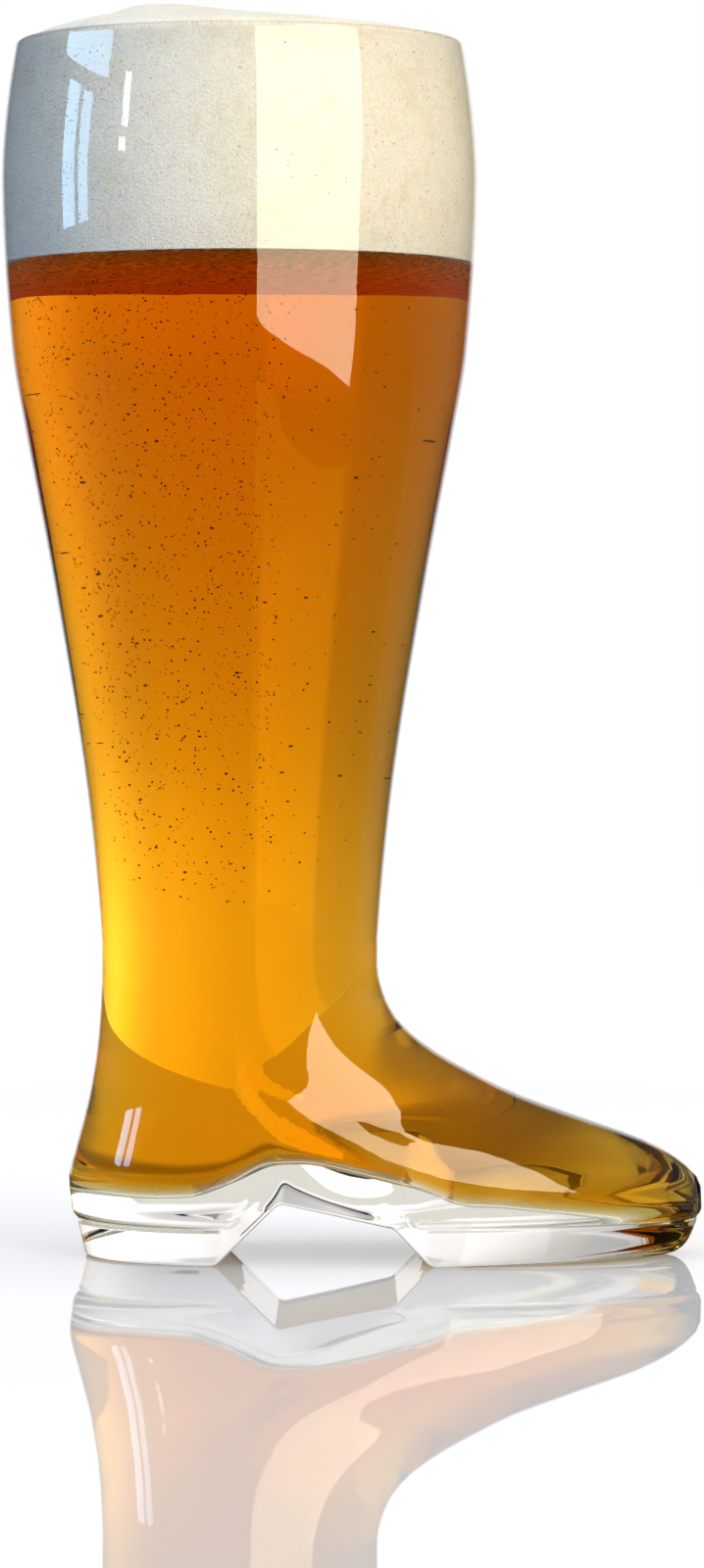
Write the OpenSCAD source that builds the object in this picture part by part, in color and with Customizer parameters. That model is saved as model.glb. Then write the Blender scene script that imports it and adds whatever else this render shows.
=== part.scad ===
// Beer boot glass, full of beer with a head of foam. Millimetres, +Z up.
// The leg is a body of revolution. The foot is drawn as level outlines, one above the other, that
// run from the sole up to the round seam at the ankle, with the toe along +X.
// The origin is on the table, under the middle of the boot's length.

/* [Leg] */
// Height of the rim above the table
glass_h = 330; // [315:1:350]
// Outside diameter at the rim
rim_d = 121.2; // [112:0.2:128]
// Outside diameter at the widest place, under the rim
bulge_d = 129.4; // [122:0.2:138]
// How far the widest place lies below the rim
bulge_drop = 37.4; // [30:0.2:50]
// Outside diameter at the seam above the ankle
ankle_d = 75.4; // [70:0.2:82]
// Height of the seam where the leg is fused to the foot
seam_z = 86; // [80:0.5:94]
// Thickness of the leg's wall
leg_wall = 3.2; // [2:0.1:5]

/* [Foot] */
// Reach of the toe in front of the leg's axis
toe_reach = 125.9; // [112:0.1:140]
// Reach of the heel behind the leg's axis
heel_reach = 46.5; // [42:0.1:52]
// Width across the heel
heel_w = 82; // [76:0.5:86]
// Width across the ball of the foot
ball_w = 90; // [84:0.5:98]
// How far the sole narrows at its waist, on each side
waist_dip = 2.5; // [0:0.1:4]
// Thickness of the foot's side walls
foot_wall = 4.2; // [3:0.1:6]
// Thickness of the glass over the instep, measured upright
instep_wall = 3.2; // [2.4:0.1:4.5]

/* [Sole] */
// Height of the line between the sole and the upper
welt_z = 9.8; // [8:0.1:11.5]
// How far the upper's lower edge is drawn in
welt_draw = 1.3; // [0.8:0.1:2.4]
// Height over which the upper's lower edge is drawn in
welt_rise = 2.8; // [2:0.1:4]
// Depth of the groove round the back of the heel
groove_depth = 1.3; // [0.4:0.1:2]
// Width of that groove
groove_w = 1; // [0.6:0.1:1.6]
// Lean of the sole's sides, in degrees
sole_lean = 13; // [6:1:18]
// Rounding of the sole's lower edge
sole_round = 1; // [0.5:0.1:1.6]
// Extra rounding under the toe
toe_round = 4.4; // [1:0.1:5]

/* [Arch and floor] */
// Start of the arch behind the leg's axis, at the table
arch_back = 5.9; // [3:0.1:9]
// End of the arch in front of the leg's axis, at the table
arch_front = 51.6; // [47:0.1:57]
// Height of the arch at its heel end
arch_high = 16.8; // [13:0.1:18]
// Height of the arch at its ball end
arch_low = 10.2; // [7:0.1:11.5]
// How far the heel's front face leans forward
heel_lean = 16.9; // [13:0.1:20]
// How far the ball's back face leans back
ball_lean = 9.6; // [7:0.1:12]
// Rounding of the arch's corners
arch_round = 1.2; // [0.6:0.1:2]
// Height of the cavity's floor over the heel
heel_floor = 18.2; // [16:0.1:21]
// Height of the cavity's floor over the arch
arch_floor = 27; // [25:0.1:30]
// Height of the cavity's floor over the ball of the foot
ball_floor = 15.5; // [14:0.1:18]
// Height of the cavity's floor at the toe
toe_floor = 9.6; // [8.5:0.1:12]
// Rounding where the floor meets the walls
floor_round = 4; // [2:0.1:6]

/* [Drink] */
// How far the beer's surface lies below the rim
foam_depth = 60; // [40:0.5:90]
// How far the foam stands above the rim
dome_h = 11; // [6:0.2:16]
// How far the top of the foam lies behind the leg's axis
dome_back = 24; // [0:0.5:30]
// Clearance between the drink and the glass
drink_gap = 0.1; // [0.05:0.05:0.3]

/* [Smoothness] */
// Sides of the round outlines
sides = 56; // [32:4:60]

/* [Hidden] */

ankle_r = ankle_d / 2;
bulge_r = bulge_d / 2;
rim_r = rim_d / 2;
bulge_z = glass_h - bulge_drop;
beer_z = glass_h - foam_depth;
// Moves the leg's axis so that the boot's length is centred on the origin
axis_x = (bulge_r - toe_reach) / 2;
// The rim is rounded from this height up
lip_r = leg_wall / 2;
lip_z = glass_h - lip_r;
// Overrun of the cutter that makes the arch
cut_over = 5;
// Levels drawn in each stretch of the glass and the drink
leg_levels = 26;
lip_levels = 6;
upper_levels = 19;
cavity_levels = 14;
turn_levels = 3;
foam_levels = 13;
dome_levels = 9;

// The leg below its widest place: share of the height, then share of the swelling. The row below
// the seam only sets the slope there.
leg_shares = [
    [-0.1, 0.01], [0, 0], [0.21, 0.155], [0.466, 0.47], [0.675, 0.768], [0.777, 0.898], [1, 1], [1.2, 0.93]
];
// How fast the leg draws in from its widest place to the rim
rim_power = 1.7;

// The upper between the welt and the seam: share of the height, then shares of how far the heel,
// the toe and the width have grown out of the round ankle
upper_shares = [
    [0, 0.88, 1, 1],
    [0.055, 0.92, 1, 1],
    [0.152, 1, 0.984, 0.96],
    [0.264, 0.77, 0.851, 0.74],
    [0.377, 0.51, 0.588, 0.42],
    [0.433, 0.39, 0.452, 0.28],
    [0.488, 0.3, 0.348, 0.18],
    [0.601, 0.15, 0.172, 0.07],
    [0.713, 0.06, 0.06, 0.02],
    [0.853, 0, 0.006, 0],
    [1, 0, 0, 0]
];
// Where the ball of the foot is widest, as a share of the way from the heel's centre to the toe
ball_share = 0.44;
// Power of the outline in front of the ball: a half is an ellipse and more is more pointed
round_power = 0.5;
toe_power = 0.62;

// The top of the foam: share of the way from its highest point to the rim, then share of its height
dome_shares = [[0, 1], [0.2, 0.9], [0.4, 0.71], [0.6, 0.565], [0.8, 0.4], [0.94, 0.24], [1, 0]];

// The sole's lower edge: share of its rounding's height, share of the same rounding's depth, and
// share of the extra rounding under the toe
edge_shares = [[0, 1, 2], [0.29, 0.29, 1.3], [1, 0, 0.8]];
// The side of the sole a little higher: share of its height, and of the extra rounding there
side_share = 0.33;
side_toe_share = 0.3;
// How far the upper is still drawn in, halfway up its drawn-in edge
welt_share = 0.4;
// Depth in the cavity, as a share, at which the glass over the instep has its full thickness
instep_share = 0.25;

// The cavity's floor along the foot, at heights that follow the four named floors. Places are
// shares of the arch's length from its start, and shares of the reach beyond its end.
arch_len = arch_back + arch_front;
floor_rows = [
    [-heel_reach, heel_floor],
    [-arch_back - 0.12 * arch_len, heel_floor],
    [-arch_back + 0.08 * arch_len, heel_floor + 0.42 * (arch_floor - heel_floor)],
    [-arch_back + 0.24 * arch_len, heel_floor + 0.88 * (arch_floor - heel_floor)],
    [-arch_back + 0.38 * arch_len, arch_floor],
    [-arch_back + 0.57 * arch_len, arch_floor],
    [-arch_back + 0.75 * arch_len, ball_floor + 0.78 * (arch_floor - ball_floor)],
    [-arch_back + 0.92 * arch_len, ball_floor + 0.48 * (arch_floor - ball_floor)],
    [arch_front + 0.1 * (toe_reach - arch_front), ball_floor + 0.08 * (arch_floor - ball_floor)],
    [arch_front + 0.24 * (toe_reach - arch_front), ball_floor],
    [arch_front + 0.6 * (toe_reach - arch_front), ball_floor + 0.55 * (toe_floor - ball_floor)],
    [toe_reach, toe_floor]
];

// A smooth curve through the rows of a table, read at key k in column c
function row_at(rows, k, i = 0) = (i >= len(rows) - 2 || k <= rows[i + 1][0]) ? i : row_at(rows, k, i + 1);
function slope_at(rows, i, c) =
    let (a = max(i - 1, 0), b = min(i + 1, len(rows) - 1))
    (rows[b][c] - rows[a][c]) / (rows[b][0] - rows[a][0]);
function curve(rows, k, c) =
    let (i = row_at(rows, k), w = rows[i + 1][0] - rows[i][0], u = min(max((k - rows[i][0]) / w, 0), 1))
    rows[i][c] * (2 * u * u * u - 3 * u * u + 1)
    + slope_at(rows, i, c) * w * (u * u * u - 2 * u * u + u)
    + rows[i + 1][c] * (3 * u * u - 2 * u * u * u)
    + slope_at(rows, i + 1, c) * w * (u * u * u - u * u);
function smooth(u) = let (t = min(max(u, 0), 1)) t * t * (3 - 2 * t);
function mix(a, b, t) = a + (b - a) * t;

// Outside radius of the leg at height z
function leg_r(z) =
    z < bulge_z
    ? mix(ankle_r, bulge_r, curve(leg_shares, (z - seam_z) / (bulge_z - seam_z), 1))
    : mix(bulge_r, rim_r, pow((z - bulge_z) / (glass_h - bulge_z), rim_power));

// Share of the upper's height at z, and the wall there
function up_share(z) = min(max((z - welt_z) / (seam_z - welt_z), 0), 1);
function wall_at(z) = mix(foot_wall, leg_wall, up_share(z));

// A point [x, y] of the foot's outline at height z and angle a, counted from the heel, with the leg's
// axis at zero. The reach of the toe is that of height zf. The outline is drawn in by inset on every
// side, and by toe_inset more at the toe.
function foot_point(a, z, zf, inset, toe_inset) =
    let (
        h = up_share(z),
        grown = curve(upper_shares, h, 3),
        heel_r = mix(ankle_r, heel_w / 2, grown) - inset,
        ball_r = mix(ankle_r, ball_w / 2, grown) - inset,
        back = mix(ankle_r, heel_reach, curve(upper_shares, h, 1)) - inset,
        front = mix(ankle_r, toe_reach, curve(upper_shares, up_share(zf), 2)) - inset - toe_inset,
        mid = heel_r - back,
        v = max(-cos(a), 0),
        ball = ball_share * grown,
        way = v < ball ? v / ball : 1,
        beyond = max(v - ball, 0) / (1 - ball),
        dip = waist_dip * grown * pow(sin(180 * way), 2),
        tip = pow(1 - pow(beyond, 2), mix(round_power, toe_power, grown)),
        across = (mix(heel_r, ball_r, smooth(way)) - dip) * tip
    )
    cos(a) > 0
    ? [mid - heel_r * cos(a), heel_r * sin(a)]
    : [mid + (front - mid) * v, a < 180 ? across : -across];

// Levels of the glass outside the foot, from the table up: [height, inset, inset at the toe, groove]
sole_in = welt_draw + (welt_z - groove_w / 2) * tan(sole_lean);
outer_levels = concat(
    [for (e = edge_shares) [e[0] * sole_round, sole_in + e[1] * sole_round, e[2] * toe_round, 0]],
    [
        [side_share * welt_z, mix(sole_in, welt_draw, side_share), side_toe_share * toe_round, 0],
        [welt_z - groove_w / 2, welt_draw, 0, 0],
        [welt_z, welt_draw, 0, groove_depth],
        [welt_z + groove_w / 2, welt_draw, 0, 0],
        [welt_z + welt_rise / 2, welt_draw * welt_share, 0, 0]
    ],
    [
        for (k = [0:upper_levels - 1])
        [mix(welt_z + welt_rise, seam_z, k / (upper_levels - 1)), 0, 0, 0]
    ]
);

// How much of the groove is there at x: all of it behind the heel, and none of it by the leg's axis
function groove_share(x) = smooth(-x / (heel_reach / 2));

function outer_ring(l) =
    [
        for (i = [0:sides - 1])
        let (
            p = foot_point(360 * i / sides, l[0], l[0], l[1], l[2]),
            d = l[3] * groove_share(p[0]) / norm(p)
        )
        [p[0] * (1 - d), p[1] * (1 - d), l[0]]
    ];

// Levels of the cavity in the foot, from the seam down to its floor: [share of the depth, inset,
// share of the turn]. The last ones turn in to round the edge of the floor.
function cavity_level(k) =
    let (
        turn = 90 * max(k - cavity_levels, 0) / turn_levels,
        round_share = floor_round / (seam_z - ball_floor)
    )
    [
        (1 - round_share) * min(k / cavity_levels, 1) + round_share * sin(turn),
        floor_round * (1 - cos(turn)),
        sin(turn)
    ];

// A point of the cavity at angle a, gap inside the glass. Level l is a share of the way down to the
// floor under the point, so the point is placed for the middle of the floor first.
function cavity_point(a, l, gap) =
    let (
        shelf = instep_wall * smooth(l[0] / instep_share),
        z0 = mix(seam_z, ball_floor, l[0]),
        p0 = foot_point(a, z0, z0 + shelf, wall_at(z0) + gap + l[1], 0),
        z = mix(seam_z, curve(floor_rows, p0[0], 1), l[0]),
        p = foot_point(a, z, z + shelf, wall_at(z) + gap + l[1], 0)
    )
    [p[0], p[1], z + gap * l[2]];
function cavity_ring(k, gap) =
    let (l = cavity_level(k))
    [for (i = [0:sides - 1]) cavity_point(360 * i / sides, l, gap)];

// A round ring of the drink: its centre's x, its radius and its height
function round_ring(x, r, z) =
    [for (i = [0:sides - 1]) [x - r * cos(360 * i / sides), r * sin(360 * i / sides), z]];

// The rings of the drink in the leg at height z, and of the foam at share s of the way to the rim
function leg_ring(z) = round_ring(0, leg_r(z) - leg_wall - drink_gap, z);
function dome_ring(s) =
    round_ring(
        -dome_back * (1 - s),
        (leg_r(lip_z) - leg_wall - drink_gap) * s,
        mix(lip_z, glass_h + dome_h, curve(dome_shares, s, 1))
    );

// Faces between rings of the same number of points. Each four-sided face is split on the diagonal
// that mirrors the other side of the boot. With lined, it is split as the glass around the drink is.
function tube_faces(last, lined) =
    [
        for (k = [0:last - 1], i = [0:sides - 1], half = [0, 1])
        let (
            a = k * sides + i,
            b = k * sides + (i + 1) % sides,
            c = b + sides,
            d = a + sides
        )
        (i < sides / 2) == lined
        ? (half == 0 ? [a, b, d] : [b, c, d])
        : (half == 0 ? [a, b, c] : [a, c, d])
    ];

// A cap that joins the two sides of ring k
function cap_faces(k, up) =
    [
        for (i = [0:sides / 2 - 1], half = [0, 1])
        let (
            a = k * sides + i,
            b = k * sides + i + 1,
            c = k * sides + (sides - i - 1),
            d = k * sides + (sides - i) % sides,
            f = half == 0 ? [a, b, c] : [a, c, d]
        )
        if (f[0] != f[1] && f[1] != f[2] && f[2] != f[0])
        up ? f : [f[2], f[1], f[0]]
    ];
module stack(rings, lined) {
    last = len(rings) - 1;
    polyhedron(
        points = [for (r = rings, p = r) p],
        faces = concat(tube_faces(last, lined), cap_faces(0, false), cap_faces(last, true))
    );
}

// The arch under the waist, seen from the side
module arch_profile() {
    offset(r = arch_round)
    offset(delta = -arch_round)
    polygon([
        [-arch_back - heel_lean * cut_over / arch_high, -cut_over],
        [-arch_back + heel_lean, arch_high],
        [arch_front - ball_lean, arch_low],
        [arch_front + ball_lean * cut_over / arch_low, -cut_over]
    ]);
}

module leg_glass() {
    heights = [for (k = [0:leg_levels]) mix(seam_z, lip_z, k / leg_levels)];
    color([0.88, 0.93, 0.93, 0.35])
    translate([axis_x, 0, 0])
    rotate_extrude($fn = 2 * sides)
    polygon(concat(
        [for (z = heights) [leg_r(z), z]],
        [
            for (k = [1:lip_levels - 1])
            let (a = 180 * k / lip_levels)
            [leg_r(lip_z) - lip_r * (1 - cos(a)), lip_z + lip_r * sin(a)]
        ],
        [for (k = [leg_levels:-1:0]) [leg_r(heights[k]) - leg_wall, heights[k]]]
    ));
}

module foot_glass() {
    color([0.88, 0.93, 0.93, 0.35])
    translate([axis_x, 0, 0])
    difference() {
        stack(concat(
            [for (l = outer_levels) outer_ring(l)],
            [for (k = [0:cavity_levels + turn_levels]) cavity_ring(k, 0)]
        ), false);
        rotate([90, 0, 0])
        linear_extrude(height = ball_w + 2 * cut_over, center = true)
        arch_profile();
    }
}

module beer() {
    color([0.85, 0.47, 0.02])
    translate([axis_x, 0, 0])
    stack(concat(
        [for (k = [cavity_levels + turn_levels:-1:0]) cavity_ring(k, drink_gap)],
        [for (k = [1:leg_levels]) leg_ring(mix(seam_z, beer_z, k / leg_levels))]
    ), true);
}

module foam_head() {
    color([0.95, 0.93, 0.84])
    translate([axis_x, 0, 0])
    stack(concat(
        [for (k = [0:foam_levels]) leg_ring(mix(beer_z, lip_z, k / foam_levels))],
        [for (k = [1:dome_levels]) dome_ring(1 - k / (dome_levels + 1))]
    ), true);
}

leg_glass();
foot_glass();
beer();
foam_head();
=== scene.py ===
import math
import random
import bmesh
import bpy
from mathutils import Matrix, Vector, noise


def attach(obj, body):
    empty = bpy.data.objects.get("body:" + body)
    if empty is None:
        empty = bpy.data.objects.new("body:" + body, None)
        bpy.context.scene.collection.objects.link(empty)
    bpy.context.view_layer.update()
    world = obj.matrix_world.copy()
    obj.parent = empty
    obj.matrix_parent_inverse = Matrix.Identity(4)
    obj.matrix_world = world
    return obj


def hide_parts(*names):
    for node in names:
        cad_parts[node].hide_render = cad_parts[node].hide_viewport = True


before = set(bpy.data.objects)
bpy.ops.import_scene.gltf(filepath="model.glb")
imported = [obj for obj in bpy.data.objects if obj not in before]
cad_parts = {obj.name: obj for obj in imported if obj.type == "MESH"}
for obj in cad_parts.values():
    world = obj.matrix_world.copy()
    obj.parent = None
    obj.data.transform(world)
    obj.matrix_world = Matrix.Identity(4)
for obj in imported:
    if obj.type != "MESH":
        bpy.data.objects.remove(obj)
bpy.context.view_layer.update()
print("boot: frame loaded")

# The boot's shape, in millimetres, with x counted from the leg's axis. The numbers are those of the CAD part.
boot = {
    "rimHeight": 330, "rimRadius": 60.6, "bulgeRadius": 64.7, "bulgeHeight": 292.6,
    "ankleRadius": 37.7, "seamHeight": 86, "legWall": 3.2, "rimPower": 1.7,
    "toeReach": 125.9, "heelReach": 46.5, "heelRadius": 41, "ballRadius": 45, "waistDip": 2.5,
    "ballShare": 0.44, "roundPower": 0.5, "toePower": 0.62, "footWall": 4.2, "instepWall": 3.2,
    "instepDepth": 0.25, "weltHeight": 9.8, "grooveDepth": 1.3, "uprightSides": 0.6, "edgeRound": 1.0,
    "toeEdge": 0.35, "soleTop": 24, "cornerRound": 1.2, "floorRound": 4, "ballFloor": 15.5, "axisX": -30.6,
}
legShares = [
    (-0.1, 0.01), (0, 0), (0.21, 0.155), (0.466, 0.47), (0.675, 0.768), (0.777, 0.898), (1, 1), (1.2, 0.93),
]
# Share of the height over the welt, then shares of how far heel, toe and width have grown out of the ankle
upperShares = [
    (0, 0.88, 1, 1), (0.055, 0.92, 1, 1), (0.152, 1, 0.984, 0.96), (0.264, 0.77, 0.851, 0.74),
    (0.377, 0.51, 0.588, 0.42), (0.433, 0.39, 0.452, 0.28), (0.488, 0.3, 0.348, 0.18),
    (0.601, 0.15, 0.172, 0.07), (0.713, 0.06, 0.06, 0.02), (0.853, 0, 0.006, 0), (1, 0, 0, 0),
]
archLine = [(-5.9, 0), (11, 16.8), (42, 10.2), (51.6, 0)]  # underside of the waist, seen from the side
# Height over the table, then how far the side and the toe are drawn in there
sideRows = [
    (0, 3.45, 6.4), (1, 3.25, 3.5), (3.23, 2.74, 1.32), (9.3, 1.3, 0),
    (10.3, 1.3, 0), (11.2, 0.52, 0), (12.6, 0, 0),
]
# The floor of the cavity along the foot
floorRows = [
    (-46.5, 18.2), (-12.8, 18.2), (-1.3, 21.9), (7.9, 25.94), (15.95, 27), (26.88, 27),
    (37.23, 24.47), (47, 21.02), (59.03, 16.42), (69.43, 15.5), (96.18, 12.26), (125.9, 9.6),
]
grooveRows = [(9.3, 0), (9.5, 0.62), (9.8, 1), (10.1, 0.62), (10.3, 0)]
domeShares = [(0, 1), (0.07, 0.985), (0.2, 0.9), (0.4, 0.71), (0.6, 0.565), (0.8, 0.4), (0.94, 0.24), (1, 0)]


def mix(a, b, t):
    return a + (b - a) * t


def steps(start, end, count):
    return [mix(start, end, k / count) for k in range(count + 1)]


def smooth(u):
    t = min(max(u, 0), 1)
    return t * t * (3 - 2 * t)


def slopeAt(rows, i, column):
    a, b = max(i - 1, 0), min(i + 1, len(rows) - 1)
    return (rows[b][column] - rows[a][column]) / (rows[b][0] - rows[a][0])


# A smooth curve through the rows of a table
def curve(rows, key, column=1):
    i = 0
    while i < len(rows) - 2 and key > rows[i + 1][0]:
        i += 1
    width = rows[i + 1][0] - rows[i][0]
    u = min(max((key - rows[i][0]) / width, 0), 1)
    low = rows[i][column] * (2 * u**3 - 3 * u**2 + 1)
    lowSlope = slopeAt(rows, i, column) * width * (u**3 - 2 * u**2 + u)
    high = rows[i + 1][column] * (3 * u**2 - 2 * u**3)
    highSlope = slopeAt(rows, i + 1, column) * width * (u**3 - u**2)
    return low + lowSlope + high + highSlope


# The same table read along straight lines
def straight(rows, key, column=1):
    if key <= rows[0][0]:
        return rows[0][column]
    for low, high in zip(rows, rows[1:]):
        if key <= high[0]:
            return mix(low[column], high[column], (key - low[0]) / (high[0] - low[0]))
    return rows[-1][column]


# Height of the sole's underside at x, with the corners of the arch rounded
def archHeight(x):
    offsets = [boot["cornerRound"] * k / 4 for k in range(-4, 5)]
    return sum(straight(archLine, x + offset) for offset in offsets) / len(offsets)


def floorHeight(x):
    return curve(floorRows, x)


def legRadius(z):
    if z < boot["bulgeHeight"]:
        share = (z - boot["seamHeight"]) / (boot["bulgeHeight"] - boot["seamHeight"])
        return mix(boot["ankleRadius"], boot["bulgeRadius"], curve(legShares, share))
    share = (z - boot["bulgeHeight"]) / (boot["rimHeight"] - boot["bulgeHeight"])
    return mix(boot["bulgeRadius"], boot["rimRadius"], share ** boot["rimPower"])


def upShare(z):
    return min(max((z - boot["weltHeight"]) / (boot["seamHeight"] - boot["weltHeight"]), 0), 1)


def wallAt(z):
    return mix(boot["footWall"], boot["legWall"], upShare(z))


soleMiddle = -4.44       # where the round heel ends on the sole
freeToe = 60             # the stations behind this x keep their x on every level of the sole
keptTop = 18             # up to this height, and less and less over the next keptFade
keptFade = 12
usualHeight = 5          # height and inset at which a station's x on the sole is looked up
usualInset = 3
cavityTurn = math.pi / 2  # of the round edge between the cavity's side and its floor


# A point of the foot's outline at height z. The angle is counted from the heel.
def footPoint(angle, z, reachHeight, inset, toeInset=0.0):
    h = upShare(z)
    grown = curve(upperShares, h, 3)
    toeShare = curve(upperShares, upShare(reachHeight), 2)
    heel = mix(boot["ankleRadius"], boot["heelRadius"], grown) - inset
    ball = mix(boot["ankleRadius"], boot["ballRadius"], grown) - inset
    back = mix(boot["ankleRadius"], boot["heelReach"], curve(upperShares, h, 1)) - inset
    front = mix(boot["ankleRadius"], boot["toeReach"], toeShare) - inset - toeInset
    middle = heel - back
    turn = math.cos(angle)
    if turn > 1e-9:
        return middle - heel * turn, heel * math.sin(angle)
    v = min(max(-turn, 0), 1)
    plainX = mix(soleMiddle, boot["toeReach"], v)
    keptX = plainX - (boot["toeReach"] - front) * smooth((plainX - freeToe) / (boot["toeReach"] - freeToe))
    keptV = min(max((keptX - middle) / (front - middle), 0), 1)
    v = mix(keptV, v, smooth((z - keptTop) / keptFade))
    widest = boot["ballShare"] * grown
    way = v / widest if v < widest else 1
    beyond = max(v - widest, 0) / (1 - widest)
    dip = boot["waistDip"] * grown * math.sin(math.pi * way) ** 2
    tip = (1 - min(beyond, 1) ** 2) ** mix(boot["roundPower"], boot["toePower"], grown)
    across = (mix(heel, ball, smooth(way)) - dip) * tip
    return middle + (front - middle) * v, across * (1 if math.sin(angle) > 0 else -1)


# How finely the mesh is laid: stations round the boot, then rings up and down it
fine = {
    "heel": 46, "toe": 62, "smallestTurn": 0.003, "heelEnd": (0.6, 1.3, 2, 2.8, 3.7, 5),
    "archCorner": (-3, -2.2, -1.5, -0.9, -0.3, 0.3, 0.9, 1.5, 2.2, 3),
    "edge": 5, "upper": 26, "leg": 46, "lip": 10, "cavity": 26, "cavityTurn": 6, "beerLeg": 36,
    "foamSide": 40, "dome": 40,
    "sole": (2, 3.2, 4.6, 6.2, 7.8, 8.8, 9.3, 9.5, 9.8, 10.1, 10.3, 10.8, 11.2, 11.8, 12.6, 14, 16, 18.5,
             21.2, 24),
}


# Angles of the stations, closer together at the corners of the arch
def stationAngles():
    quarter = math.pi / 2
    half = [quarter * k / fine["heel"] for k in range(fine["heel"])]
    half += [quarter * (1 + k / fine["toe"]) for k in range(fine["toe"] + 1)]
    half += [quarter - math.asin(step / boot["heelRadius"]) for step in fine["heelEnd"]]
    for corner, _ in archLine:
        for step in fine["archCorner"]:
            share = (corner + step - soleMiddle) / (boot["toeReach"] - soleMiddle)
            if share > 0:
                half.append(quarter + math.asin(share))
    half.sort()
    kept = [half[0]]
    for angle in half[1:-1]:
        if angle - kept[-1] > fine["smallestTurn"] and half[-1] - angle > fine["smallestTurn"]:
            kept.append(angle)
    kept.append(math.pi)
    return kept + [2 * math.pi - angle for angle in reversed(kept[1:-1])]


stations = stationAngles()


# Rings of points. Each ring is a list with one point per station. This one lies on the side of the foot, or on
# the round edge of the sole where an edge angle is given.
def sideRing(level, edge=None):
    top, rounding = boot["soleTop"], boot["edgeRound"]
    ring = []
    for angle in stations:
        x, y = footPoint(angle, usualHeight, usualHeight, usualInset)
        under = archHeight(x)
        z, extra = level, 0
        if edge is not None:
            z = under + rounding * (1 - math.cos(edge))
            extra = rounding * (1 - math.sin(edge))
        elif level < top:
            z = top - (top - level) * (top - under - rounding) / (top - rounding)
        inset = curve(sideRows, z, 1) + extra
        toeInset = curve(sideRows, z, 2) * (1 + boot["toeEdge"] * extra)
        x, y = footPoint(angle, z, z, inset, toeInset)
        groove = straight(grooveRows, z) * boot["grooveDepth"] * smooth(-x * 2 / boot["heelReach"])
        scale = 1 - groove / math.hypot(x, y)
        ring.append((x * scale, y * scale * (1 + boot["uprightSides"] * inset / boot["ballRadius"]), z))
    return ring


def roundRing(x, radius, z):
    return [(x - radius * math.cos(a), radius * math.sin(a), z) for a in stations]


# A ring of the cavity in the foot, a share of the way down to its floor, drawn in by gap
def cavityRing(share, turn, gap):
    roundShare = boot["floorRound"] / (boot["seamHeight"] - boot["ballFloor"])
    depth = (1 - roundShare) * share + roundShare * math.sin(turn)
    drawn = boot["floorRound"] * (1 - math.cos(turn)) + gap
    shelf = boot["instepWall"] * smooth(depth / boot["instepDepth"])
    middleZ = mix(boot["seamHeight"], boot["ballFloor"], depth)
    ring = []
    for angle in stations:
        x, y = footPoint(angle, middleZ, middleZ + shelf, wallAt(middleZ) + drawn)
        z = mix(boot["seamHeight"], floorHeight(x), depth)
        x, y = footPoint(angle, z, z + shelf, wallAt(z) + drawn)
        ring.append((x, y, z + gap * math.sin(turn)))
    return ring


def cavityRings(gap):
    sides = [cavityRing(k / fine["cavity"], 0, gap) for k in range(1, fine["cavity"] + 1)]
    turns = [cavityTurn * k / fine["cavityTurn"] for k in range(1, fine["cavityTurn"] + 1)]
    return sides + [cavityRing(1, turn, gap) for turn in turns]


# Rows that draw a ring in to a line along the boot, at the height that a function gives
def capRows(ring, shares, heightAt, line=(0, 0)):
    rows = []
    for share in shares:
        row = []
        for x, y, _ in ring:
            px = mix(min(max(x, line[0]), line[1]), x, share)
            row.append((px, y * share, heightAt(px, y * share)))
        rows.append(row)
    return rows


soleCap = (0, 0.3, 0.6, 0.85, 0.97)         # shares at which the rows of a cap lie
floorCap = (0.96, 0.85, 0.65, 0.4, 0.2, 0)
beerCap = (0.997, 0.85, 0.6, 0.3, 0)
foamCap = (0, 0.3, 0.6, 0.85, 0.95, 0.995)
soleLine = (-9, 84)                         # heel end and toe end of the line that a cap is drawn in to
floorLine = (-14, 96)
sewingWidth = 0.00001                       # in metres


# Builds one closed mesh from rings, by laying a grid round them and sewing its seam
def ringsToMesh(name, rings, wetRow=None):
    mesh = bmesh.new()
    rowOf = {}
    across, along = len(stations) + 1, len(rings)
    bmesh.ops.create_grid(mesh, x_segments=across - 1, y_segments=along - 1, size=1)
    mesh.verts.ensure_lookup_table()
    for vertex in mesh.verts:
        column = round((vertex.co.x + 1) / 2 * (across - 1)) % len(stations)
        row = round((vertex.co.y + 1) / 2 * (along - 1))
        rowOf[vertex] = row
        x, y, z = rings[row][column]
        vertex.co = ((x + boot["axisX"]) / 1000, y / 1000, z / 1000)
    for face in mesh.faces:
        wet = wetRow is not None and min(rowOf[vertex] for vertex in face.verts) >= wetRow
        face.material_index = 1 if wet else 0
    bmesh.ops.remove_doubles(mesh, verts=mesh.verts[:], dist=sewingWidth)
    bmesh.ops.recalc_face_normals(mesh, faces=mesh.faces[:])
    if mesh.calc_volume(signed=True) < 0:
        bmesh.ops.reverse_faces(mesh, faces=mesh.faces[:])
    return meshToPiece(name, mesh)


def meshToPiece(name, mesh):
    data = bpy.data.meshes.new(name)
    mesh.to_mesh(data)
    mesh.free()
    data.polygons.foreach_set("use_smooth", [True] * len(data.polygons))
    piece = bpy.data.objects.new(name, data)
    bpy.context.scene.collection.objects.link(piece)
    return piece


# The beer overlaps the glass a little, so that light passes from one into the other without a film of air
drink = {"overlap": 0.12, "surface": 270.05, "edgeStrip": 0.15}


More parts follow.
